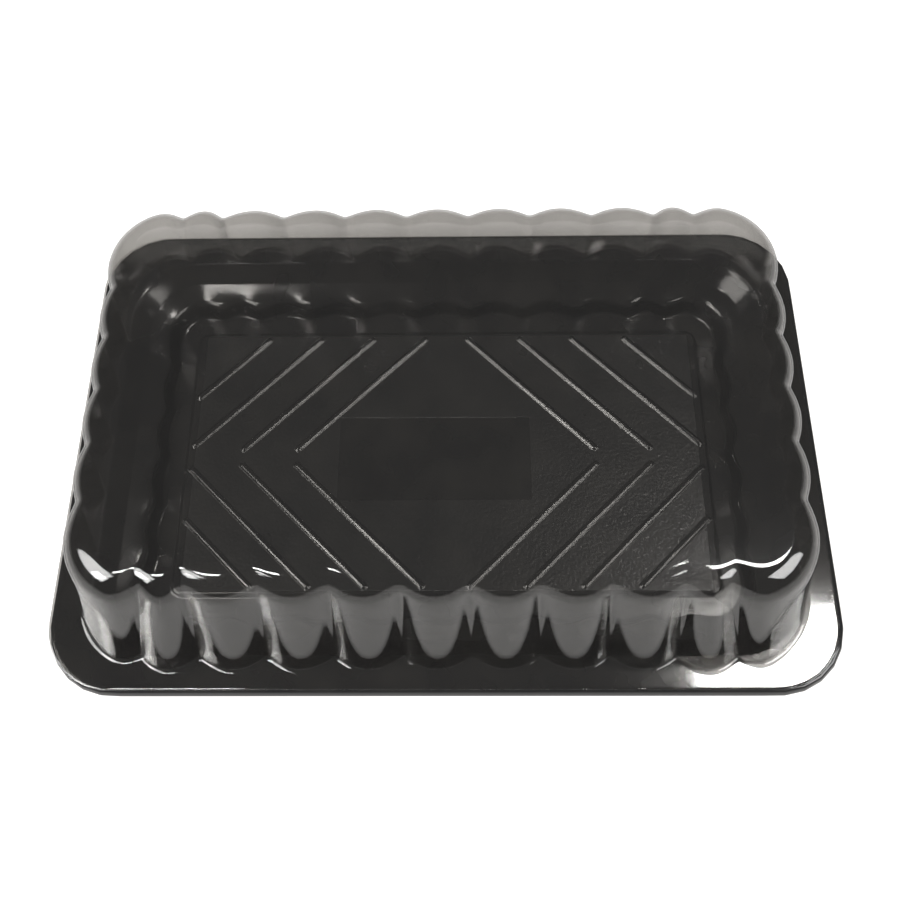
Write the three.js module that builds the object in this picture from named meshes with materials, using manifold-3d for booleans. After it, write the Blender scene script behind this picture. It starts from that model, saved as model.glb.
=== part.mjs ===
// A shallow black food tray with its tall clear fluted lid standing shut on the flange.
// Millimetres, +Z up. The origin is on the ground under the middle of the tray, and +X runs along a long side.
import * as THREE from "three";
import { mergeVertices } from "three/addons/utils/BufferGeometryUtils.js";
import Module from "manifold-3d";

const wasm = await Module();
wasm.setup();

// ---- Driving dimensions ----
// A rounded rectangle is given by its half length, half width and corner radius.
const RIM = { x: 110, y: 75, r: 20 }; // outside of the tray, at the foot of its turned-down lip
const RIM_TURN = 0.7; // how far the top of the flange stops short of the lip's foot
const LIP_DROP = 2.2; // height of the turned-down lip
const FLANGE_TOP = 12; // height of the tray's flange over the ground
const TRAY_WALL = 0.5; // thickness of the black sheet
const MOUTH = { x: 99.5, y: 64.5, r: 20 }; // where the tray's wall leaves the flange
const CORNER_TIGHTENING = 0.7; // corner radius lost for each millimetre that the tray's wall goes in

const LID_REST = 0.3; // gap between the two flanges
const LID_WALL = 0.5; // thickness of the clear sheet
const LID_RIM_INSET = 1.2; // how far the lid's flange stops short of the tray's rim
const LID_FOOT = { x: 100.5, y: 68.3, r: 22.3 }; // round the lobes' crests, where the wall leaves the flange
const LID_SHOULDER = { x: 96, y: 59.8, r: 19 }; // the same at the top of the wall, where the shoulder begins
const LID_HEIGHT = 38; // from the tray's flange to the lid's flat top
const LID_SHIFT = -0.7; // the lid sits this far off the tray's middle along X
const SHOULDER_RADIUS = 8; // turn between the lid's wall and its flat top
const FOOT_RADIUS = 1.2; // turn between the lid's wall and its flange

// The lid is fluted: convex lobes side by side, meeting in narrow valleys. Seven whole lobes and a narrower
// one at each end stand along a long side, four along a short side, and one wide lobe goes round each corner.
const WHOLE_LOBES = { long: 7, short: 4 };
const LOBES_AT_FOOT = { long: 18.5, end: 16.7, short: 17 }; // widths
const LOBES_AT_SHOULDER = { long: 17.8, end: 11.5, short: 16.2 };
const LOBES_IN_TRAY = { long: 17.2, end: 12, short: 15.5 };
const LOBE_SHIFT = -1.1; // the pattern sits off centre, so the corner lobes on the right are the wider ones
const FLUTE_AT_FOOT = 3.5; // depth of a valley
const FLUTE_AT_SHOULDER = 2.9;
const FLUTE_AT_TOP = 1.6;
const SHORT_SIDE_SHARE = 0.6; // depth of a short side's valleys, as a share of a long side's
const FLUTE_REACH = 9.25; // a lobe is fully out this far from a valley
const LOBE_STEPS = 6; // facets across a lobe
const CORNER_STEPS = 12; // facets round a corner lobe

// The floor has a raised panel with narrow ribs on it: four nested diamonds, cut off at the panel's edge.
const PANEL = { x: 80, y: 44, r: 3 };
const PANEL_RISE = 0.8;
const RIB_AREA = { x: 78.7, y: 42.3 };
const RIB_FIRST = 48.5; // distance along X from the middle to the inmost diamond's corner
const RIB_PITCH = 16.8; // from one diamond's corner to the next
const RIB_COUNT = 4;
const RIB_CORNER_GAP = 2; // a diamond stays open this far either side of its corners
const RIB = { foot: 2.2, crest: 0.6, rise: 0.6 }; // widths across a rib, and its height
const SEAT = 0.1; // how deep a fused piece reaches into what carries it

// The tray's wall from the floor up: how far inside the mouth, the height of its upper face, and the depth of
// its flutes. A smooth ledge runs round above the fluted foot.
const TRAY_WALL_LINE = [
  { inside: 13.5, z: TRAY_WALL, flute: 0.9 },
  { inside: 12.0, z: 1.8, flute: 1.6 },
  { inside: 9.0, z: 6.4, flute: 0.3 },
  { inside: 6.2, z: 7.6, flute: 0 },
  { inside: 1.3, z: 11.2, flute: 0 },
  { inside: 0, z: FLANGE_TOP, flute: 0 },
];
const SHOULDER_TURNS = [90, 64, 38, 13]; // degrees round the shoulder, from the flat top to the leaning wall

const COLOURS = { tray: 0x1d1d1e, lid: 0xdde2e4 };

// ---- Outlines ----
const mix = (a, b, t) => a + (b - a) * t;
const mixed = (a, b, t) =>
  Object.fromEntries(Object.keys(a).map((key) => [key, mix(a[key], b[key], t)]));

/** A rounded rectangle moved outwards by a distance, its corner radius changed by a share of that. */
const grown = ({ x, y, r }, out, share = 1) => ({ x: x + out, y: y + out, r: r + out * share });

/** The valleys in a quarter of the outline: heights up the short side, then places along the long side. */
function valleys(lobes, shift) {
  const short = [];
  for (let i = 0; i <= WHOLE_LOBES.short / 2; i++) short.push(i * lobes.short);
  const long = [];
  for (let i = WHOLE_LOBES.long / 2; i > 0; i--) long.push(i * lobes.long + shift);
  return { short, long: [long[0] + lobes.end, ...long] };
}

/** The point and outward normal a distance along a quarter outline, from the middle of the short side. */
function quarterPoint({ x, y, r }, along) {
  const arcStart = y - r;
  const arc = (r * Math.PI) / 2;
  if (along <= arcStart) return { point: new THREE.Vector2(x, along), normal: new THREE.Vector2(1, 0) };
  if (along >= arcStart + arc) {
    return { point: new THREE.Vector2(x - r - (along - arcStart - arc), y), normal: new THREE.Vector2(0, 1) };
  }
  const angle = (along - arcStart) / r;
  const normal = new THREE.Vector2(Math.cos(angle), Math.sin(angle));
  return { point: new THREE.Vector2(x - r, y - r).addScaledVector(normal, r), normal };
}

/** A quarter of a fluted outline, from the short side's middle to the crest at the long side's middle. */
function quarter(rect, lobes, depth, shift) {
  const { short, long } = valleys(lobes, shift);
  const whole = rect.y - rect.r + (rect.r * Math.PI) / 2 + rect.x - rect.r;
  const places = [...short, ...long.map((x) => whole - x)];
  const cornerLobe = short.length - 1;
  const points = [];
  const depthAt = (valley) => (valley <= cornerLobe ? depth * SHORT_SIDE_SHARE : depth);
  const step = (lobe, from, to, steps, kept) => {
    const reach = Math.min(FLUTE_REACH, (to - from) / 2);
    for (let i = 0; i < kept; i++) {
      const along = mix(from, to, i / steps);
      const near = Math.min(1, Math.min(along - from, to - along) / reach);
      const valley = along - from < to - along ? lobe : lobe + 1;
      const { point, normal } = quarterPoint(rect, along);
      points.push(point.addScaledVector(normal, -depthAt(valley) * (1 - near) ** 2));
    }
  };
  for (let i = 0; i + 1 < places.length; i++) {
    const steps = i === cornerLobe ? CORNER_STEPS : LOBE_STEPS;
    step(i, places[i], places[i + 1], steps, steps);
  }
  // The lobe in the middle of the long side is only half in this quarter.
  const last = places.at(-1);
  step(places.length - 1, last, last + lobes.long, LOBE_STEPS, LOBE_STEPS / 2 + 1);
  return points;
}

/** A whole fluted outline at a height, anticlockwise: two quarters at the back, mirrored to the front. */
function ring(rect, lobes, depth, z) {
  const right = quarter(rect, lobes, depth, LOBE_SHIFT);
  const left = quarter(rect, lobes, depth, -LOBE_SHIFT);
  const placed = (points, sx, sy) => points.slice(0, -1).map((p) => new THREE.Vector3(sx * p.x, sy * p.y, z));
  return [
    ...placed(right, 1, 1),
    ...placed([...left].reverse(), -1, 1),
    ...placed(left, -1, -1),
    ...placed([...right].reverse(), 1, -1),
  ];
}

// ---- Surfaces and solids ----
/** The closed surface through a list of rings, with a flat cap facing up on the first and down on the last. */
function loft(rings) {
  const count = rings[0].length;
  const faces = [];
  const cap = (start, points, down) => {
    for (const [a, b, c] of THREE.ShapeUtils.triangulateShape(points, [])) {
      faces.push(start + a, start + (down ? c : b), start + (down ? b : c));
    }
  };
  cap(0, rings[0], false);
  for (let level = 0; level + 1 < rings.length; level++) {
    for (let i = 0; i < count; i++) {
      const a = level * count + i;
      const b = level * count + ((i + 1) % count);
      faces.push(a, a + count, b + count, a, b + count, b);
    }
  }
  cap((rings.length - 1) * count, rings.at(-1), true);
  return new THREE.BufferGeometry().setFromPoints(rings.flat()).setIndex(faces);
}

function solid(geometry) {
  const bare = geometry.clone().deleteAttribute("normal").deleteAttribute("uv");
  const merged = mergeVertices(bare, 1e-4);
  return new wasm.Manifold(
    new wasm.Mesh({
      numProp: 3,
      vertProperties: merged.getAttribute("position").array,
      triVerts: new Uint32Array(merged.index.array),
    }),
  );
}

function geometryOf(made) {
  const { vertProperties, triVerts } = made.getMesh();
  return new THREE.BufferGeometry()
    .setAttribute("position", new THREE.BufferAttribute(vertProperties, 3))
    .setIndex(new THREE.BufferAttribute(triVerts, 1));
}

/** A line of {out, z} points moved off itself by a distance, to its right as it goes outwards and down. */
function beside(line, distance) {
  return line.map((point, i) => {
    const before = line[Math.max(i - 1, 0)];
    const after = line[Math.min(i + 1, line.length - 1)];
    const along = new THREE.Vector2(after.out - before.out, after.z - before.z).normalize();
    return { ...point, out: point.out + along.y * distance, z: point.z - along.x * distance };
  });
}

// ---- The tray ----
function roundedShape({ x, y, r }) {
  const shape = new THREE.Shape();
  shape.absarc(x - r, y - r, r, 0, Math.PI / 2);
  shape.absarc(r - x, y - r, r, Math.PI / 2, Math.PI);
  shape.absarc(r - x, r - y, r, Math.PI, 1.5 * Math.PI);
  shape.absarc(x - r, r - y, r, 1.5 * Math.PI, 2 * Math.PI);
  return shape;
}

/** A block with the outline of the floor panel, set in by a distance. */
function panelBlock(inset, from, to) {
  const block = new THREE.ExtrudeGeometry(roundedShape(grown(PANEL, -inset)), {
    depth: to - from,
    bevelEnabled: false,
    curveSegments: 3,
  });
  return solid(block.translate(0, 0, from));
}

/** One straight rib between two points of the panel, with sloping flanks. */
function ribBlock(start, end, z) {
  const section = new THREE.Shape([
    new THREE.Vector2(-RIB.foot / 2, -SEAT),
    new THREE.Vector2(RIB.foot / 2, -SEAT),
    new THREE.Vector2(RIB.crest / 2, RIB.rise),
    new THREE.Vector2(-RIB.crest / 2, RIB.rise),
  ]);
  const run = end.clone().sub(start);
  const bar = new THREE.ExtrudeGeometry(section, { depth: run.length(), bevelEnabled: false });
  bar.rotateX(Math.PI / 2); // the section stands up, and the bar runs along -Y
  bar.rotateZ(run.angle() + Math.PI / 2);
  return solid(bar.translate(start.x, start.y, z));
}

/** The ends of the rib that a diamond has in the quarter with x and y over 0. */
function ribEnds(diamond) {
  const corner = RIB_FIRST + diamond * RIB_PITCH;
  const lowX = Math.max(RIB_CORNER_GAP, corner - RIB_AREA.y);
  const highX = Math.min(corner - RIB_CORNER_GAP, RIB_AREA.x);
  return [new THREE.Vector2(lowX, corner - lowX), new THREE.Vector2(highX, corner - highX)];
}

function trayGeometry() {
  const upper = TRAY_WALL_LINE.map(({ inside, z, flute }) => ({ out: -inside, z, flute }));
  const wallRing = ({ out, z, flute }) =>
    ring(grown(MOUTH, out, CORNER_TIGHTENING), LOBES_IN_TRAY, flute, z);
  const lower = beside(upper, TRAY_WALL).map((point, i) => (i === 0 ? { ...point, z: 0 } : point));
  const rimRing = (inset, z) => ring(grown(RIM, -inset), LOBES_IN_TRAY, 0, z);
  const lipFoot = FLANGE_TOP - LIP_DROP;
  const shell = solid(
    loft([
      ...upper.map(wallRing),
      rimRing(RIM_TURN, FLANGE_TOP),
      rimRing(0, lipFoot),
      rimRing(TRAY_WALL, lipFoot),
      rimRing(RIM_TURN + TRAY_WALL, FLANGE_TOP - TRAY_WALL),
      ...lower.reverse().map(wallRing),
    ]),
  );
  const panelTop = TRAY_WALL + PANEL_RISE;
  let tray = shell
    .add(panelBlock(0, TRAY_WALL - SEAT, panelTop))
    .subtract(panelBlock(TRAY_WALL, -SEAT, PANEL_RISE));
  for (let diamond = 0; diamond < RIB_COUNT; diamond++) {
    const ends = ribEnds(diamond);
    for (const [sx, sy] of [[1, 1], [-1, 1], [-1, -1], [1, -1]]) {
      const [start, end] = ends.map((p) => new THREE.Vector2(sx * p.x, sy * p.y));
      tray = tray.add(ribBlock(start, end, panelTop));
    }
  }
  return geometryOf(tray);
}

// ---- The lid ----
function lidGeometry() {
  const flangeTop = FLANGE_TOP + LID_REST + LID_WALL;
  const top = FLANGE_TOP + LID_HEIGHT;
  const wallFoot = flangeTop + FOOT_RADIUS;
  const { degToRad } = THREE.MathUtils;
  const start = degToRad(SHOULDER_TURNS.at(-1));
  // The lid's section from the edge of its flat top out and down: how far outside the wall it is, its height,
  // its place up the wall from foot (0) to shoulder (1), and the depth of the flutes.
  const line = SHOULDER_TURNS.map((degrees) => {
    const turn = degToRad(degrees);
    return {
      out: SHOULDER_RADIUS * (Math.cos(turn) - Math.cos(start)),
      z: top - SHOULDER_RADIUS * (1 - Math.sin(turn)),
      up: 1,
      flute: mix(FLUTE_AT_SHOULDER, FLUTE_AT_TOP, (turn - start) / (Math.PI / 2 - start)),
    };
  });
  line.push({ out: 0, z: wallFoot, up: 0, flute: FLUTE_AT_FOOT });
  line.push({ out: FOOT_RADIUS, z: flangeTop, up: 0, flute: FLUTE_AT_FOOT });
  const wallRing = ({ out, z, up, flute }) =>
    ring(grown(mixed(LID_FOOT, LID_SHOULDER, up), out), mixed(LOBES_AT_FOOT, LOBES_AT_SHOULDER, up), flute, z);
  const inner = beside(line, LID_WALL);
  inner[0].z = top - LID_WALL;
  inner.at(-1).z = flangeTop - LID_WALL;
  const rimRing = (z) => ring(grown(RIM, -LID_RIM_INSET), LOBES_AT_FOOT, 0, z);
  const lid = loft([
    ...line.map(wallRing),
    rimRing(flangeTop),
    rimRing(flangeTop - LID_WALL),
    ...inner.reverse().map(wallRing),
  ]);
  return lid.translate(LID_SHIFT, 0, 0);
}

// ---- The object ----
function subPart(name, geometry, look) {
  const mesh = new THREE.Mesh(geometry, new THREE.MeshStandardMaterial({ metalness: 0, ...look }));
  mesh.name = name;
  return mesh;
}

const box = new THREE.Group();
box.add(subPart("tray", trayGeometry(), { color: COLOURS.tray, roughness: 0.25 }));
box.add(
  subPart("lid", lidGeometry(), { color: COLOURS.lid, roughness: 0.06, transparent: true, opacity: 0.25 }),
);

export default box;
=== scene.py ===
import math
from collections import namedtuple

import bmesh
import bpy
from mathutils import Matrix, Vector


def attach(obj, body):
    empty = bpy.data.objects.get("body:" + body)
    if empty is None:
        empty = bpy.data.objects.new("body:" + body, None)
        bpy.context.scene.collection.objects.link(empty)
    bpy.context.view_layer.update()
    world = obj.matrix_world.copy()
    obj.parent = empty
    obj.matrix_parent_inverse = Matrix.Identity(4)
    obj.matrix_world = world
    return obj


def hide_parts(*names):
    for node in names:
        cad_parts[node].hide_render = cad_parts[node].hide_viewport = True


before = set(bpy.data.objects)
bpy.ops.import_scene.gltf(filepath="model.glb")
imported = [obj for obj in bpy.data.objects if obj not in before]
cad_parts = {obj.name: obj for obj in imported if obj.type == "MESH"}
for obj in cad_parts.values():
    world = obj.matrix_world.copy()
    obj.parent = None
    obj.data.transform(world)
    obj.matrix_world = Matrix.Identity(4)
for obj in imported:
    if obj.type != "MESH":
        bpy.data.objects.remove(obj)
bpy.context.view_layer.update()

# A shallow black food tray with diamond ribs on its floor, shut under its tall clear fluted lid.
# The driving dimensions are millimetres; every mesh is in metres, in the frame's own place.
MM = 0.001

# ---- Driving dimensions ----
Rect = namedtuple("Rect", "x y r")  # half length, half width and corner radius
# Widths of the lobes along each side, and how softly a valley's bottom turns.
Lobes = namedtuple("Lobes", "long end short turn")
Bar = namedtuple("Bar", "foot rise")  # width across a bar at its foot, and its height

RIM = Rect(110, 75, 20)  # outside of the tray, at the foot of its turned-down lip
LIP_DROP = 2.2
FLANGE_TOP = 12
TRAY_WALL = 0.5
MOUTH = Rect(99.5, 64.5, 20)  # where the tray's wall leaves the flange
CORNER_TIGHTENING = 0.7  # corner radius lost for each millimetre that the tray's wall goes in

LID_REST = 0.3  # gap between the two flanges
LID_WALL = 0.5
LID_RIM_INSET = 1.2
LID_FOOT = Rect(100.5, 68.3, 22.3)
LID_SHOULDER = Rect(96, 59.8, 19)
LID_HEIGHT = 38
LID_SHIFT = -0.7  # the lid sits this far off the tray's middle along X
SHOULDER_RADIUS = 8
SHOULDER_START = math.radians(13)  # how far the wall leans in where the shoulder begins
WALL_HOLLOW = 0.2  # the wall leans more than its mean by this share at its foot, and less by it at its top
FOOT_RADIUS = 1.2

WHOLE_LOBES_LONG = 7
WHOLE_LOBES_SHORT = 4
LOBES_AT_FOOT = Lobes(18.5, 16.7, 17, 0.8)
LOBES_AT_SHOULDER = Lobes(17.8, 11.5, 16.2, 0.8)
LOBES_IN_TRAY = Lobes(17.2, 12, 15.5, 3)
LOBE_SHIFT = -1.1
FLUTE_AT_FOOT = 3.5
FLUTE_AT_SHOULDER = 2.9
FLUTE_AT_TOP = 1.6
SHORT_SIDE_SHARE = 0.6  # depth of a short side's valleys, as a share of a long side's
FLUTE_REACH = 9.25  # a lobe is fully out this far from a valley
FLUTE_SHARPNESS = 2.0  # above 2, the lobes are flatter and the valleys narrower
VALLEY_CROWDING = 1.6  # above 1, the points crowd together near a valley
FLANK_STEPS = 8  # facets from a valley to a lobe's crest
CORNER_STEPS = 10  # facets round the smooth middle of a corner lobe

PANEL = Rect(80, 44, 3)
PANEL_RISE = 0.8
RIB_AREA_X = 78.7
RIB_AREA_Y = 42.3
RIB_FIRST = 48.5
RIB_PITCH = 16.8
RIB_COUNT = 4
RIB_CORNER_GAP = 2
RIB = Bar(2.4, 0.62)
GROOVE = Bar(1.5, 0.5)  # the hollow under a rib, as the sheet has the same thickness there
RIB_FACETS = 14  # across a bar
RIB_END_STEPS = 5  # along the rounded end of a bar
CREST_ROUNDING = 0.3  # share of a bar's half width
SEAT = 0.1  # how deep a fused bar reaches into what carries it
EDGE_SEAT = 0.025  # how deep the edge of its upper face lies

# The tray's section from the foot of its lip to its wall: inset from the rim, and height.
LIP_LINE = [(0, FLANGE_TOP - LIP_DROP), (0.45, 11.2), (0.62, 11.65), (0.95, 11.92), (1.5, FLANGE_TOP)]
FLANGE_SUPPORT = 2.2
# The wall from the mouth down: inset from the mouth, height, and depth of the flutes. A smooth ledge runs
# round above the fluted foot.
WALL_LINE = [
    (-0.6, FLANGE_TOP, 0), (0.1, 11.98, 0), (1.3, 11.2, 0), (5.2, 8.2, 0), (5.8, 7.9, 0), (9.4, 6.4, 0.3),
    (10.8, 5.5, 2.2), (12.4, 1.8, 1.7), (13.2, TRAY_WALL, 1.4), (14.9, TRAY_WALL, 0.2),
]
WALL_SOFTENING = 2  # rounds of corner cutting
# The raised panel's edge: outset from the panel's outline, and height over the floor.
PANEL_EDGE = [(0.9, 0), (0.45, 0.04), (0.15, 0.22), (-0.15, 0.58), (-0.45, 0.76), (-0.9, PANEL_RISE)]
PANEL_SUPPORT = -1.3

SHOULDER_STEPS = 10
FOOT_STEPS = 5
WALL_STEPS = 6
TOP_SUPPORT = 0.7
EDGE_ROUNDING = 0.13  # round the free edges of both sheets
EDGE_STEPS = 2
EDGE_ANGLE = math.radians(65)  # only the free edges are sharper than this
SMOOTH_ANGLE = math.radians(40)
LEVEL = 0.9999  # a face whose normal rises this much is level
SAME_HEIGHT = 0.01

# ---- Finishes ----
# The panel is finely stippled, but for a smooth margin and a plain rectangle off its middle.
STIPPLE_X = 77.5
STIPPLE_Y = 42.8
STIPPLE_LEVELS = (1.1, 1.5)  # the heights between which the panel's upper face lies
STIPPLE_DEPTH = 0.12
STIPPLE_ROUGHNESS = 0.16  # what it adds
FIELD = namedtuple("Field", "low_x high_x low_y high_y")(-33, 26, -14.5, 13.3)
# The black's slight clouds: place on their scale, and colour.
BLACKS = ((0.35, (0.014, 0.014, 0.0145, 1)), (0.7, (0.022, 0.0215, 0.021, 1)))
CLEAR_TINT = (0.89, 0.882, 0.87, 1)
HEAD_ON_MIRROR = 0.05  # what one face of the clear sheet mirrors of a ray that meets it head on
GRAZING_POWER = 5.0  # how late that grows towards a whole mirror at grazing

# ---- The studio ----
LENS = 41.747  # focal length (mm)
SENSOR = 36  # width (mm)
CAMERA_PLACE = Vector((6.474, -132.302, 293.530)) * MM
CAMERA_TARGET = Vector((1.4, -2.81, 12.0)) * MM
CAMERA_ROLL = math.radians(-2.31)
FLOOR_SIZE = 8  # m
FLOOR_GLOW = 0.2
FLOOR_GLOW_SEEN = 0.75  # added where the camera sees the floor directly
ROOM_GLOW = 0.14
# Lamps that face the tray: turn from the front towards +X, climb, distance, size (m) and glow.
SoftBox = namedtuple("SoftBox", "turn climb distance size glow")
SOFT_BOXES = {
    "window": SoftBox(-58.5, 43, 1.17, 0.36, 9),
    "left_box": SoftBox(-75, 48, 1.3, 0.7, 7),
    "right_box": SoftBox(70, 45, 1.3, 0.66, 6.5),
}
# Lamps that face straight down: two corners (m), height (m) and glow. Those of the glint and of the rear
# glow are given as the points (mm) of the flange that mirror them to the camera.
LevelLamp = namedtuple("LevelLamp", "low high level glow")
STRIP = LevelLamp((-0.42, -0.19), (-0.26, -0.09), 0.97, 21)
GLINT = LevelLamp((68, -75), (110, -51), 1.0, 27)
REAR_GLOW = LevelLamp((-104, 65), (104, 73.5), 1.0, 0.8)


# ---- Outlines ----
def mix(a, b, share):
    return a + (b - a) * share


def mixed(first, second, share):
    return type(first)(*(mix(a, b, share) for a, b in zip(first, second)))


def grown(rect, out, share=1.0):
    """A rounded rectangle moved outwards by a distance, its corner radius changed by a share of that."""
    return Rect(rect.x + out, rect.y + out, rect.r + out * share)


def quarter_length(rect):
    return rect.y - rect.r + rect.r * math.pi / 2 + rect.x - rect.r


def quarter_point(rect, along):
    """The point and outward normal a distance along a quarter outline, from the middle of the short side."""
    arc_start = rect.y - rect.r
    arc = rect.r * math.pi / 2
    if along <= arc_start:
        return Vector((rect.x, along)), Vector((1, 0))
    if along >= arc_start + arc:
        return Vector((rect.x - rect.r - (along - arc_start - arc), rect.y)), Vector((0, 1))
    angle = (along - arc_start) / rect.r
    normal = Vector((math.cos(angle), math.sin(angle)))
    return Vector((rect.x - rect.r, rect.y - rect.r)) + normal * rect.r, normal


def valley_places(rect, lobes, shift):
    """Distances along a quarter outline where two lobes meet, and past its end the last lobe's far valley."""
    short = [i * lobes.short for i in range(WHOLE_LOBES_SHORT // 2 + 1)]
    numbers = [WHOLE_LOBES_LONG / 2 - n for n in range(WHOLE_LOBES_LONG // 2 + 1)]
    long = [number * lobes.long + shift for number in numbers]
    whole = quarter_length(rect)
    places = short + [whole - x for x in [long[0] + lobes.end, *long]]
    return places + [places[-1] + lobes.long]


def lobe_steps(width, reach, corner):
    """Distances from one valley towards the next, crowded near both. The far valley is left out."""
    flank = [reach * (i / FLANK_STEPS) ** VALLEY_CROWDING for i in range(FLANK_STEPS + 1)]
    crest = [mix(reach, width - reach, i / CORNER_STEPS) for i in range(1, CORNER_STEPS)] if corner else []
    middle = [width - reach] if corner else []
    return flank + crest + middle + [width - s for s in reversed(flank[1:-1])]


def inset_at(near, reach, depth, turn):
    """How far a fluted outline lies inside its crests at a distance from a valley."""
    def softened(s):
        return math.hypot(s, turn) - turn
    share = min(1.0, softened(near) / softened(reach))
    return depth * (1 - share) ** FLUTE_SHARPNESS


def quarter_steps(rect, lobes, shift):
    """The places of the points along a quarter outline, from the short side's middle to the crest nearest the
    long side's middle. Each comes with its distance from the nearer valley, how far that valley reaches and
    its share of the full depth."""
    places = valley_places(rect, lobes, shift)
    corner_lobe = WHOLE_LOBES_SHORT // 2
    for i, (start, end) in enumerate(zip(places, places[1:])):
        width = end - start
        reach = min(FLUTE_REACH, width / 2)
        steps = lobe_steps(width, reach, i == corner_lobe)
        if i == len(places) - 2:
            steps = steps[: FLANK_STEPS + 1]
        for s in steps:
            valley = i if s < width / 2 else i + 1
            yield start + s, min(s, width - s), reach, SHORT_SIDE_SHARE if valley <= corner_lobe else 1


def quarter(rect, lobes, depth, shift):
    """A quarter of a fluted outline."""
    points = []
    for along, near, reach, share in quarter_steps(rect, lobes, shift):
        point, normal = quarter_point(rect, along)
        points.append(point - normal * inset_at(near, reach, depth * share, lobes.turn))
    return points


def whole_outline(right, left, z):
    """A whole outline at a height, anticlockwise: two quarters at the back, mirrored to the front."""
    parts = [(right[:-1], 1, 1), (left[:0:-1], -1, 1), (left[:-1], -1, -1), (right[:0:-1], 1, -1)]
    return [Vector((sx * p.x, sy * p.y, z)) * MM for points, sx, sy in parts for p in points]


def ring(rect, lobes, depth, z):
    """A whole fluted outline."""
    right, left = (quarter(rect, lobes, depth, shift) for shift in (LOBE_SHIFT, -LOBE_SHIFT))
    return whole_outline(right, left, z)


def plain_ring(rect, like, z):
    """An outline without flutes, its points spread as a fluted one's are, for flat bands between them."""
    wall, lobes = like
    share = quarter_length(rect) / quarter_length(wall)

    def run(shift):
        return [quarter_point(rect, along * share)[0] for along, *_ in quarter_steps(wall, lobes, shift)]

    return whole_outline(run(LOBE_SHIFT), run(-LOBE_SHIFT), z)


def softened_line(line, times):
    """A line of points with its corners cut off again and again. Its two ends stay."""
    for _ in range(times):
        cut = [line[0]]
        for a, b in zip(line, line[1:]):
            cut += [tuple(mix(p, q, share) for p, q in zip(a, b)) for share in (0.25, 0.75)]
        line = cut + [line[-1]]
    return line


# ---- Working with meshes, as by hand ----
def select_only(*pieces):
    bpy.ops.object.select_all(action="DESELECT")
    for piece in pieces:
        piece.select_set(True)
    bpy.context.view_layer.objects.active = pieces[0]


def apply_modifier(piece, kind, name, **settings):
    modifier = piece.modifiers.new(name, kind)
    for key, value in settings.items():
        setattr(modifier, key, value)
    select_only(piece)
    bpy.ops.object.modifier_apply(modifier=modifier.name)


def set_ring(sheet, points):
    """Puts the selected ring's points on an outline. The layer keeps which point is which."""
    mesh = bmesh.from_edit_mesh(sheet.data)
    place = mesh.verts.layers.int["place"]
    for vert in mesh.verts:
        if vert.select:
            vert.co = points[vert[place]]
    bmesh.update_edit_mesh(sheet.data)


def drawn_sheet(name, rings):
    """One face of a moulded sheet: a circle drawn out ring by ring from its rim to the flat that ends it."""
    bpy.ops.object.select_all(action="DESELECT")
    bpy.ops.mesh.primitive_circle_add(vertices=len(rings[0]), radius=RIM.x * MM, fill_type="NOTHING")
    sheet = bpy.context.object
    sheet.name = sheet.data.name = name
    bpy.ops.object.mode_set(mode="EDIT")
    mesh = bmesh.from_edit_mesh(sheet.data)
    place = mesh.verts.layers.int.new("place")
    for i, vert in enumerate(mesh.verts):
        vert[place] = i
    bmesh.update_edit_mesh(sheet.data)
    set_ring(sheet, rings[0])
    for points in rings[1:]:
        bpy.ops.mesh.extrude_edges_move()
        set_ring(sheet, points)
    bpy.ops.mesh.edge_face_add()
    bpy.ops.mesh.select_all(action="SELECT")
    bpy.ops.mesh.normals_make_consistent(inside=False)
    flat = max(bmesh.from_edit_mesh(sheet.data).faces, key=lambda face: len(face.verts))
    if flat.normal.z < 0:
        bpy.ops.mesh.flip_normals()
    bpy.ops.object.mode_set(mode="OBJECT")
    sheet.data.attributes.remove(sheet.data.attributes["place"])
    return sheet


def thickened(sheet, thickness):
    """Gives the sheet its wall on the side away from its face, and rounds its free edge."""
    apply_modifier(
        sheet, "SOLIDIFY", "wall", thickness=thickness * MM, offset=-1, use_even_offset=True, use_rim=True
    )
    apply_modifier(
        sheet, "BEVEL", "edge", width=EDGE_ROUNDING * MM, segments=EDGE_STEPS, limit_method="ANGLE",
        angle_limit=EDGE_ANGLE,
    )
    return sheet


def smooth(piece):
    select_only(piece)
    bpy.ops.object.shade_smooth_by_angle(angle=SMOOTH_ANGLE)


def keep_flat(piece, heights):
    """Makes the borders of the level faces at some heights sharp, so that they shade as flat."""
    select_only(piece)
    bpy.ops.object.mode_set(mode="EDIT")
    bpy.ops.mesh.select_all(action="DESELECT")
    mesh = bmesh.from_edit_mesh(piece.data)
    for face in mesh.faces:
        level = abs(face.normal.z) > LEVEL
        face.select_set(level and any(abs(face.verts[0].co.z - z * MM) < SAME_HEIGHT * MM for z in heights))
    bmesh.update_edit_mesh(piece.data)
    bpy.ops.mesh.region_to_loop()
    bpy.ops.mesh.mark_sharp()
    bpy.ops.object.mode_set(mode="OBJECT")


# ---- The tray ----
def tent(from_edge, half):
    """A bar's height, from 0 at its edge to 1 at its rounded crest, half its width away."""
    def softened(share):
        return math.hypot(share, CREST_ROUNDING) - CREST_ROUNDING
    return 1 - softened(1 - min(from_edge / half, 1.0)) / softened(1)


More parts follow.
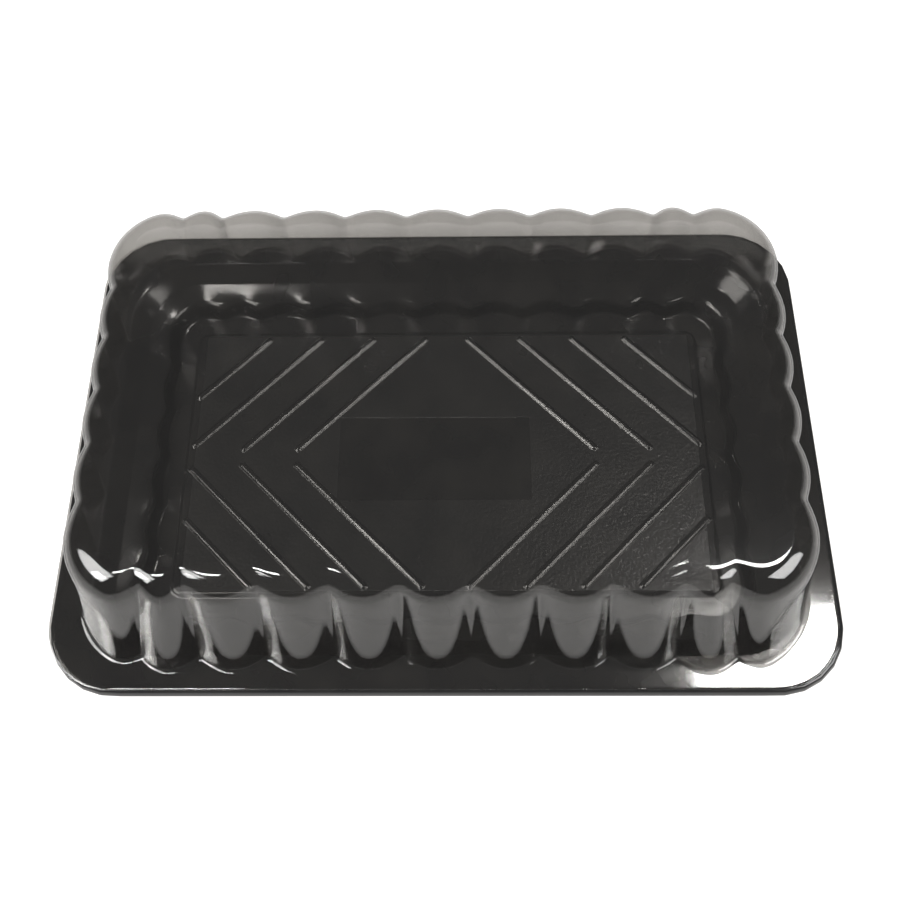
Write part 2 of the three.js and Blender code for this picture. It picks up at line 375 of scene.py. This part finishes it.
def rib_bar(start, end, base, bar):
    """A straight bar between two points of the panel, tent-shaped across and rounded down at its ends."""
    run = end - start
    half = bar.foot / 2
    columns = 2 * RIB_END_STEPS + 1
    bpy.ops.object.select_all(action="DESELECT")
    bpy.ops.mesh.primitive_grid_add(x_subdivisions=columns, y_subdivisions=RIB_FACETS, size=1)
    piece = bpy.context.object
    bpy.ops.object.mode_set(mode="EDIT")
    mesh = bmesh.from_edit_mesh(piece.data)
    for vert in mesh.verts:
        column = round((vert.co.x + 0.5) * columns)
        from_end = half * min(column, columns - column) / RIB_END_STEPS
        from_side = half - abs(vert.co.y) * bar.foot
        along = math.copysign(run.length / 2 - from_end, vert.co.x)
        rise = mix(-EDGE_SEAT, bar.rise, tent(from_end, half) * tent(from_side, half))
        vert.co = Vector((along, vert.co.y * bar.foot, rise)) * MM
    bmesh.update_edit_mesh(piece.data)
    bpy.ops.mesh.select_all(action="SELECT")
    bpy.ops.mesh.extrude_region_move()
    mesh = bmesh.from_edit_mesh(piece.data)
    for vert in mesh.verts:
        if vert.select:
            vert.co.z = -SEAT * MM
    bmesh.update_edit_mesh(piece.data)
    bpy.ops.mesh.select_all(action="SELECT")
    bpy.ops.mesh.normals_make_consistent(inside=False)
    bpy.ops.object.mode_set(mode="OBJECT")
    middle = (start + end) / 2
    piece.rotation_euler.z = math.atan2(run.y, run.x)
    piece.location = (middle.x * MM, middle.y * MM, base * MM)
    bpy.ops.object.transform_apply(location=True, rotation=True, scale=True)
    return piece


def rib_ends(diamond):
    """The ends of the rib that a diamond has in the quarter with x and y over 0."""
    corner = RIB_FIRST + diamond * RIB_PITCH
    low = max(RIB_CORNER_GAP, corner - RIB_AREA_Y)
    high = min(corner - RIB_CORNER_GAP, RIB_AREA_X)
    return Vector((low, corner - low)), Vector((high, corner - high))


def diamond_bars(name, base, bar):
    """The bars of all the nested diamonds, as one piece."""
    bars = []
    for diamond in range(RIB_COUNT):
        start, end = rib_ends(diamond)
        for sx, sy in ((1, 1), (-1, 1), (-1, -1), (1, -1)):
            ends = [Vector((sx * p.x, sy * p.y)) for p in (start, end)]
            bars.append(rib_bar(*ends, base, bar))
    select_only(*bars)
    bpy.ops.object.join()
    bars[0].name = name
    return bars[0]


def tray_rings():
    lip = [ring(grown(RIM, -inset), LOBES_IN_TRAY, 0, z) for inset, z in LIP_LINE]
    flange = [ring(grown(RIM, -FLANGE_SUPPORT), LOBES_IN_TRAY, 0, FLANGE_TOP)]
    wall = [
        ring(grown(MOUTH, -inset, CORNER_TIGHTENING), LOBES_IN_TRAY, flute, z)
        for inset, z, flute in softened_line(WALL_LINE, WALL_SOFTENING)
    ]
    foot = (grown(MOUTH, -WALL_LINE[-1][0], CORNER_TIGHTENING), LOBES_IN_TRAY)
    edge = [plain_ring(grown(PANEL, out), foot, TRAY_WALL + rise) for out, rise in PANEL_EDGE]
    panel = [plain_ring(grown(PANEL, PANEL_SUPPORT), foot, TRAY_WALL + PANEL_RISE)]
    return lip + flange + wall + edge + panel


def black_tray():
    tray = thickened(drawn_sheet("black_tray", tray_rings()), TRAY_WALL)
    panel_top = TRAY_WALL + PANEL_RISE
    ribs = diamond_bars("ribs", panel_top, RIB)
    grooves = diamond_bars("grooves", panel_top - TRAY_WALL, GROOVE)
    for bars, operation in ((ribs, "UNION"), (grooves, "DIFFERENCE")):
        apply_modifier(tray, "BOOLEAN", bars.name, operation=operation, object=bars, solver="EXACT")
        bpy.data.objects.remove(bars)
    smooth(tray)
    keep_flat(tray, (panel_top, panel_top - TRAY_WALL, TRAY_WALL, 0))
    return tray


# ---- The lid ----
def lid_rings():
    flange_top = FLANGE_TOP + LID_REST + LID_WALL
    top = FLANGE_TOP + LID_HEIGHT
    wall_foot = flange_top + FOOT_RADIUS
    shoulder = top - SHOULDER_RADIUS * (1 - math.sin(SHOULDER_START))
    rim = grown(RIM, -LID_RIM_INSET)
    rings = [ring(rect, LOBES_AT_FOOT, 0, flange_top) for rect in (rim, grown(rim, -TOP_SUPPORT))]
    support = grown(LID_FOOT, FOOT_RADIUS + TOP_SUPPORT)
    rings.append(ring(support, LOBES_AT_FOOT, FLUTE_AT_FOOT, flange_top))
    for i in range(FOOT_STEPS + 1):
        turn = math.pi / 2 * i / FOOT_STEPS
        out = FOOT_RADIUS * (1 - math.sin(turn))
        z = wall_foot - FOOT_RADIUS * math.cos(turn)
        rings.append(ring(grown(LID_FOOT, out), LOBES_AT_FOOT, FLUTE_AT_FOOT, z))
    for i in range(1, WALL_STEPS):
        up = i / WALL_STEPS
        rect = mixed(LID_FOOT, LID_SHOULDER, up + WALL_HOLLOW * up * (1 - up))
        lobes = mixed(LOBES_AT_FOOT, LOBES_AT_SHOULDER, up)
        flute = mix(FLUTE_AT_FOOT, FLUTE_AT_SHOULDER, up)
        rings.append(ring(rect, lobes, flute, mix(wall_foot, shoulder, up)))
    for i in range(SHOULDER_STEPS + 1):
        share = i / SHOULDER_STEPS
        turn = mix(SHOULDER_START, math.pi / 2, share)
        rect = grown(LID_SHOULDER, SHOULDER_RADIUS * (math.cos(turn) - math.cos(SHOULDER_START)))
        flute = mix(FLUTE_AT_SHOULDER, FLUTE_AT_TOP, share)
        rings.append(ring(rect, LOBES_AT_SHOULDER, flute, top - SHOULDER_RADIUS * (1 - math.sin(turn))))
    inner = grown(rect, -TOP_SUPPORT)
    rings.append(ring(inner, LOBES_AT_SHOULDER, FLUTE_AT_TOP, top))
    shift = Vector((LID_SHIFT * MM, 0, 0))
    return [[point + shift for point in points] for points in rings]


def clear_lid():
    lid = thickened(drawn_sheet("clear_lid", lid_rings()), LID_WALL)
    smooth(lid)
    return lid


# ---- Materials ----
def add(tree, kind, **settings):
    """A node with some of its settings and sockets set. Sockets are named as in the editor."""
    node = tree.nodes.new(kind)
    for key, value in settings.items():
        if key in node.inputs:
            node.inputs[key].default_value = value
        else:
            setattr(node, key, value)
    return node


def set_inputs(node, **values):
    for key, value in values.items():
        node.inputs[key.replace("_", " ")].default_value = value
    return node


def arithmetic(tree, operation, first, second=None):
    """A Math node between two sockets or numbers."""
    node = add(tree, "ShaderNodeMath", operation=operation)
    for socket, value in zip(node.inputs, (first, second)):
        if value is None:
            continue
        if isinstance(value, (int, float)):
            socket.default_value = value
        else:
            tree.links.new(value, socket)
    return node.outputs[0]


def moulded_sheet_group():
    """What hot sheet gets when it is moulded: slow waves in its surface, and patches that are less glossy."""
    group = bpy.data.node_groups.new("moulded_sheet", "ShaderNodeTree")
    for name, value in (("Wave Size", 40.0), ("Wave Height", 0.02), ("Gloss", 0.1), ("Haze", 0.05)):
        socket = group.interface.new_socket(name, in_out="INPUT", socket_type="NodeSocketFloat")
        socket.default_value = value
    for name in ("Height", "Roughness"):
        group.interface.new_socket(name, in_out="OUTPUT", socket_type="NodeSocketFloat")
    given = add(group, "NodeGroupInput")
    result = add(group, "NodeGroupOutput")
    coordinates = add(group, "ShaderNodeTexCoord").outputs["Object"]
    waves = set_inputs(add(group, "ShaderNodeTexNoise"), Detail=1.5, Roughness=0.4)
    group.links.new(coordinates, waves.inputs["Vector"])
    group.links.new(arithmetic(group, "DIVIDE", 1 / MM, given.outputs["Wave Size"]), waves.inputs["Scale"])
    group.links.new(arithmetic(group, "MULTIPLY", waves.outputs["Fac"], given.outputs["Wave Height"]),
                    result.inputs["Height"])
    patches = set_inputs(add(group, "ShaderNodeTexNoise"), Scale=45.0, Detail=2.0, Roughness=0.65)
    group.links.new(coordinates, patches.inputs["Vector"])
    spread = arithmetic(group, "MULTIPLY", patches.outputs["Fac"], given.outputs["Haze"])
    group.links.new(arithmetic(group, "ADD", spread, given.outputs["Gloss"]), result.inputs["Roughness"])
    return group


def placed_group(tree, group, **values):
    node = add(tree, "ShaderNodeGroup", node_tree=group)
    return set_inputs(node, **values)


def between(tree, value, low, high):
    """1 where a value lies between two numbers, else 0."""
    return arithmetic(tree, "MULTIPLY", arithmetic(tree, "GREATER_THAN", value, low),
                      arithmetic(tree, "LESS_THAN", value, high))


def new_material(name):
    material = bpy.data.materials.new(name)
    material.use_nodes = True
    material.node_tree.nodes.clear()
    return material, material.node_tree


def stipple_mask(tree, coordinates):
    """1 on the panel's upper face, but not on its smooth margin or on the plain rectangle."""
    axes = add(tree, "ShaderNodeSeparateXYZ")
    tree.links.new(coordinates, axes.inputs[0])
    x = arithmetic(tree, "ABSOLUTE", axes.outputs["X"])
    y = arithmetic(tree, "ABSOLUTE", axes.outputs["Y"])
    z = axes.outputs["Z"]
    panel = arithmetic(tree, "MULTIPLY", arithmetic(tree, "LESS_THAN", x, STIPPLE_X * MM),
                       arithmetic(tree, "LESS_THAN", y, STIPPLE_Y * MM))
    upper = between(tree, z, *(level * MM for level in STIPPLE_LEVELS))
    field = arithmetic(tree, "MULTIPLY",
                       between(tree, axes.outputs["X"], FIELD.low_x * MM, FIELD.high_x * MM),
                       between(tree, axes.outputs["Y"], FIELD.low_y * MM, FIELD.high_y * MM))
    bare = arithmetic(tree, "SUBTRACT", 1.0, field)
    return arithmetic(tree, "MULTIPLY", arithmetic(tree, "MULTIPLY", panel, upper), bare)


def black_plastic(sheet_group):
    material, tree = new_material("black_plastic")
    shader = add(tree, "ShaderNodeBsdfPrincipled")
    output = add(tree, "ShaderNodeOutputMaterial")
    tree.links.new(shader.outputs[0], output.inputs[0])
    set_inputs(shader, IOR=1.55)
    sheet = placed_group(tree, sheet_group, Wave_Size=28.0, Wave_Height=0.05, Gloss=0.08, Haze=0.1)
    coordinates = add(tree, "ShaderNodeTexCoord").outputs["Object"]
    mask = stipple_mask(tree, coordinates)

    grain = set_inputs(add(tree, "ShaderNodeTexNoise"), Scale=1100.0, Detail=0.0)
    tree.links.new(coordinates, grain.inputs["Vector"])
    pits = arithmetic(tree, "MULTIPLY", grain.outputs["Fac"], mask)
    bump = set_inputs(add(tree, "ShaderNodeBump"), Strength=0.5, Distance=STIPPLE_DEPTH * MM)
    tree.links.new(pits, bump.inputs["Height"])
    waves = set_inputs(add(tree, "ShaderNodeBump"), Strength=1.0, Distance=MM)
    tree.links.new(sheet.outputs["Height"], waves.inputs["Height"])
    tree.links.new(bump.outputs[0], waves.inputs["Normal"])
    tree.links.new(waves.outputs[0], shader.inputs["Normal"])

    stippled = arithmetic(tree, "MULTIPLY", mask, STIPPLE_ROUGHNESS)
    rough = arithmetic(tree, "ADD", sheet.outputs["Roughness"], stippled)
    tree.links.new(rough, shader.inputs["Roughness"])

    clouds = set_inputs(add(tree, "ShaderNodeTexNoise"), Scale=60.0, Detail=2.0)
    tree.links.new(coordinates, clouds.inputs["Vector"])
    shades = add(tree, "ShaderNodeValToRGB")
    for element, (place, colour) in zip(shades.color_ramp.elements, BLACKS):
        element.position = place
        element.color = colour
    tree.links.new(clouds.outputs["Fac"], shades.inputs[0])
    tree.links.new(shades.outputs[0], shader.inputs["Base Color"])
    return material


def clear_plastic(sheet_group):
    """Clear sheet so thin that it bends no light: see-through, with a mirror that grows towards grazing."""
    material, tree = new_material("clear_plastic")
    through = add(tree, "ShaderNodeBsdfTransparent")
    through.inputs["Color"].default_value = CLEAR_TINT
    mirror = add(tree, "ShaderNodeBsdfGlossy")
    mirror.inputs["Color"].default_value = (1, 1, 1, 1)
    facing = set_inputs(add(tree, "ShaderNodeLayerWeight"), Blend=0.5).outputs["Facing"]
    steep = arithmetic(tree, "POWER", facing, GRAZING_POWER)
    share = arithmetic(tree, "ADD", arithmetic(tree, "MULTIPLY", steep, 1 - HEAD_ON_MIRROR), HEAD_ON_MIRROR)
    both = add(tree, "ShaderNodeMixShader")
    output = add(tree, "ShaderNodeOutputMaterial")
    tree.links.new(share, both.inputs[0])
    tree.links.new(through.outputs[0], both.inputs[1])
    tree.links.new(mirror.outputs[0], both.inputs[2])
    tree.links.new(both.outputs[0], output.inputs[0])
    sheet = placed_group(tree, sheet_group, Wave_Size=22.0, Wave_Height=0.02, Gloss=0.03, Haze=0.06)
    waves = set_inputs(add(tree, "ShaderNodeBump"), Strength=1.0, Distance=MM)
    tree.links.new(sheet.outputs["Height"], waves.inputs["Height"])
    tree.links.new(waves.outputs[0], mirror.inputs["Normal"])
    tree.links.new(sheet.outputs["Roughness"], mirror.inputs["Roughness"])
    return material


# ---- The studio ----
def studio_camera():
    camera = bpy.data.objects.new("camera", bpy.data.cameras.new("camera"))
    bpy.context.scene.collection.objects.link(camera)
    camera.data.lens = LENS
    camera.data.sensor_width = SENSOR
    camera.data.clip_start = 0.01
    forward = (CAMERA_TARGET - CAMERA_PLACE).normalized()
    right = forward.cross(Vector((0, 0, 1))).normalized()
    up = right.cross(forward)
    turned_right = right * math.cos(CAMERA_ROLL) + up * math.sin(CAMERA_ROLL)
    turned_up = up * math.cos(CAMERA_ROLL) - right * math.sin(CAMERA_ROLL)
    axes = Matrix((turned_right, turned_up, -forward)).transposed().to_4x4()
    camera.matrix_world = Matrix.Translation(CAMERA_PLACE) @ axes
    bpy.context.scene.camera = camera


def area_lamp(name, size, glow):
    """A rectangular lamp, equally bright from all sides. Its glow is what a mirror in front of it shows."""
    lamp = bpy.data.lights.new(name, "AREA")
    lamp.shape = "RECTANGLE"
    lamp.size, lamp.size_y = size
    lamp.energy = glow * math.pi * size[0] * size[1]
    holder = bpy.data.objects.new(name, lamp)
    bpy.context.scene.collection.objects.link(holder)
    return holder


def soft_box(name, box):
    """A square lamp that faces the tray."""
    turn, climb = math.radians(box.turn), math.radians(box.climb)
    way = Vector((math.sin(turn) * math.cos(climb), -math.cos(turn) * math.cos(climb), math.sin(climb)))
    holder = area_lamp(name, (box.size, box.size), box.glow)
    holder.location = way * box.distance
    holder.rotation_euler = way.to_track_quat("Z", "Y").to_euler()


def level_lamp(name, lamp):
    """A lamp that faces straight down."""
    low, high = lamp.low, lamp.high
    holder = area_lamp(name, (high[0] - low[0], high[1] - low[1]), lamp.glow)
    holder.location = ((low[0] + high[0]) / 2, (low[1] + high[1]) / 2, lamp.level)


def mirrored_in(mirror, lamp):
    """The lamp that the camera sees mirrored in a level face (mm), between two points of that face."""
    def above(x, y):
        face = Vector((x, y, mirror)) * MM
        way = face - CAMERA_PLACE
        way.z = -way.z
        return face + way * ((lamp.level - face.z) / way.z)
    return LevelLamp(above(*lamp.low), above(*lamp.high), lamp.level, lamp.glow)


def pale_floor():
    """A pale floor, overexposed where the camera sees it directly, as in the photograph."""
    bpy.ops.object.select_all(action="DESELECT")
    bpy.ops.mesh.primitive_plane_add(size=FLOOR_SIZE)
    floor = bpy.context.object
    floor.name = "floor"
    material, tree = new_material("pale_floor")
    shader = add(tree, "ShaderNodeBsdfPrincipled")
    set_inputs(shader, Base_Color=(0.44, 0.435, 0.43, 1), Roughness=0.9)
    set_inputs(shader, Emission_Color=(1, 0.985, 0.96, 1))
    path = add(tree, "ShaderNodeLightPath")
    straight = arithmetic(tree, "LESS_THAN", path.outputs["Transparent Depth"], 0.5)
    seen = arithmetic(tree, "MULTIPLY", path.outputs["Is Camera Ray"], straight)
    glow = arithmetic(tree, "ADD", arithmetic(tree, "MULTIPLY", seen, FLOOR_GLOW_SEEN), FLOOR_GLOW)
    tree.links.new(glow, shader.inputs["Emission Strength"])
    output = add(tree, "ShaderNodeOutputMaterial")
    tree.links.new(shader.outputs[0], output.inputs[0])
    material.cycles.emission_sampling = "NONE"
    floor.data.materials.append(material)


def room_light():
    """A dim room round the object, which the camera sees as a pale backdrop."""
    world = bpy.data.worlds.new("room")
    bpy.context.scene.world = world
    world.use_nodes = True
    tree = world.node_tree
    tree.nodes.clear()
    dim = set_inputs(add(tree, "ShaderNodeBackground"), Color=(1.0, 0.99, 0.98, 1), Strength=ROOM_GLOW)
    pale = set_inputs(add(tree, "ShaderNodeBackground"), Color=(0.9, 0.9, 0.9, 1), Strength=1.0)
    seen = add(tree, "ShaderNodeLightPath").outputs["Is Camera Ray"]
    both = add(tree, "ShaderNodeMixShader")
    output = add(tree, "ShaderNodeOutputWorld")
    tree.links.new(seen, both.inputs[0])
    tree.links.new(dim.outputs[0], both.inputs[1])
    tree.links.new(pale.outputs[0], both.inputs[2])
    tree.links.new(both.outputs[0], output.inputs[0])


def studio():
    studio_camera()
    bpy.context.scene.view_settings.view_transform = "Standard"
    pale_floor()
    room_light()
    level_lamp("flange_glint", mirrored_in(FLANGE_TOP, GLINT))
    level_lamp("rear_glow", mirrored_in(FLANGE_TOP, REAR_GLOW))
    level_lamp("strip", STRIP)
    for name, box in SOFT_BOXES.items():
        soft_box(name, box)


# ---- The object ----
def dress(piece, node, material):
    piece.data.materials.clear()
    piece.data.materials.append(material)
    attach(piece, "root")
    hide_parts(node)


studio()
sheet_look = moulded_sheet_group()
dress(black_tray(), "tray", black_plastic(sheet_look))
dress(clear_lid(), "lid", clear_plastic(sheet_look))
